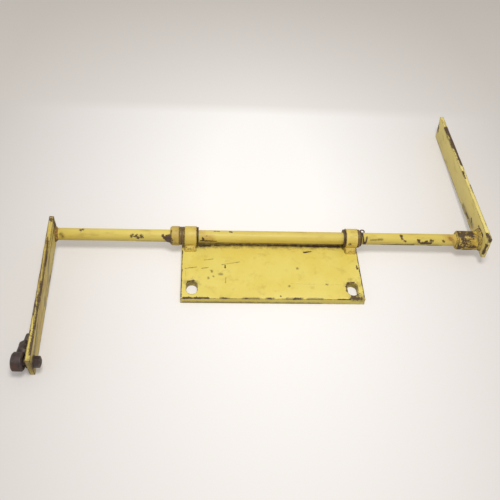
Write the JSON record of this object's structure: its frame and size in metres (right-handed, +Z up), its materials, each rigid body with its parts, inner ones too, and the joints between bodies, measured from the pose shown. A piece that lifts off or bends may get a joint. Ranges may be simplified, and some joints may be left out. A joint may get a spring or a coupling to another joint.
{
  "type": "tow bar cross shaft",
  "caption": "Slotted mounting plate carrying a turning cross shaft in two bearing rings, with a flat crank arm at each end and a ball-jointed push rod end.",
  "frame": {"origin": "On the plate's underside, midway between its two bolt slots.", "axes": "+X along the cross shaft, +Y from the slots to the shaft, +Z up from the plate."},
  "size_m": [0.9473, 0.7144, 0.0802],
  "materials": {
    "yellow_paint": "faded pale yellow enamel, chipped at the edges",
    "worn_paint": "thin yellow paint over rough weld and worn steel",
    "bare_steel": "bare steel, brown with age and grease",
    "dark_steel": "dark oxidised steel",
    "boot_rubber": "matt black rubber"
  },
  "bodies": {
    "frame": {"mounting_plate": "yellow_paint", "left_bearing_ring": "yellow_paint", "right_bearing_ring": "yellow_paint", "left_ring_front_weld": "yellow_paint", "left_ring_rear_weld": "yellow_paint", "right_ring_front_weld": "yellow_paint", "right_ring_rear_weld": "yellow_paint", "left_bush": "dark_steel", "right_bush": "dark_steel"},
    "shaft_assembly": {"cross_shaft": "yellow_paint", "stop_collar": "yellow_paint", "collar_weld": "dark_steel", "cotter_pin": "dark_steel", "left_crank_arm": "yellow_paint", "left_arm_weld": "worn_paint", "hub_sleeve": "worn_paint", "hub_end_weld": "worn_paint", "right_crank_arm": "yellow_paint", "right_arm_weld": "worn_paint", "ball_stud": "dark_steel", "stud_washer": "dark_steel", "stud_nut": "dark_steel"},
    "left_outer_washer_body": {"left_outer_washer": "bare_steel"},
    "left_inner_washer_body": {"left_inner_washer": "bare_steel"},
    "right_inner_washer_body": {"right_inner_washer": "bare_steel"},
    "right_thin_washer_body": {"right_thin_washer": "dark_steel"},
    "joint_seat": {"ball_seat": "bare_steel", "dust_boot": "boot_rubber"},
    "link": {"joint_housing": "dark_steel", "housing_cap": "dark_steel", "jam_nut": "dark_steel", "push_rod_end": "dark_steel"}
  },
  "joints": [
    {"name": "shaft_turn", "type": "hinge", "parent": "frame", "child": "shaft_assembly", "pos_m": [0, 0.119, 0.0366], "axis": [1, 0, 0], "continuous": true},
    {"name": "left_outer_washer_spin", "type": "hinge", "parent": "frame", "child": "left_outer_washer_body", "pos_m": [-0.1893, 0.119, 0.0366], "axis": [1, 0, 0], "continuous": true},
    {"name": "left_inner_washer_spin", "type": "hinge", "parent": "frame", "child": "left_inner_washer_body", "pos_m": [-0.184, 0.119, 0.0366], "axis": [1, 0, 0], "continuous": true},
    {"name": "right_inner_washer_spin", "type": "hinge", "parent": "frame", "child": "right_inner_washer_body", "pos_m": [0.187, 0.119, 0.0366], "axis": [1, 0, 0], "continuous": true},
    {"name": "right_thin_washer_spin", "type": "hinge", "parent": "frame", "child": "right_thin_washer_body", "pos_m": [0.19155, 0.119, 0.0366], "axis": [1, 0, 0], "continuous": true},
    {"name": "link_swivel", "type": "hinge", "parent": "shaft_assembly", "child": "joint_seat", "pos_m": [-0.4694, -0.17972, 0.02788], "axis": [1, 0, 0], "continuous": true},
    {"name": "link_tilt", "type": "hinge", "parent": "joint_seat", "child": "link", "pos_m": [-0.4694, -0.17972, 0.02788], "axis": [0.0093, 0.295, 0.9554], "range_deg": [-1.2, 13]}
  ]
}
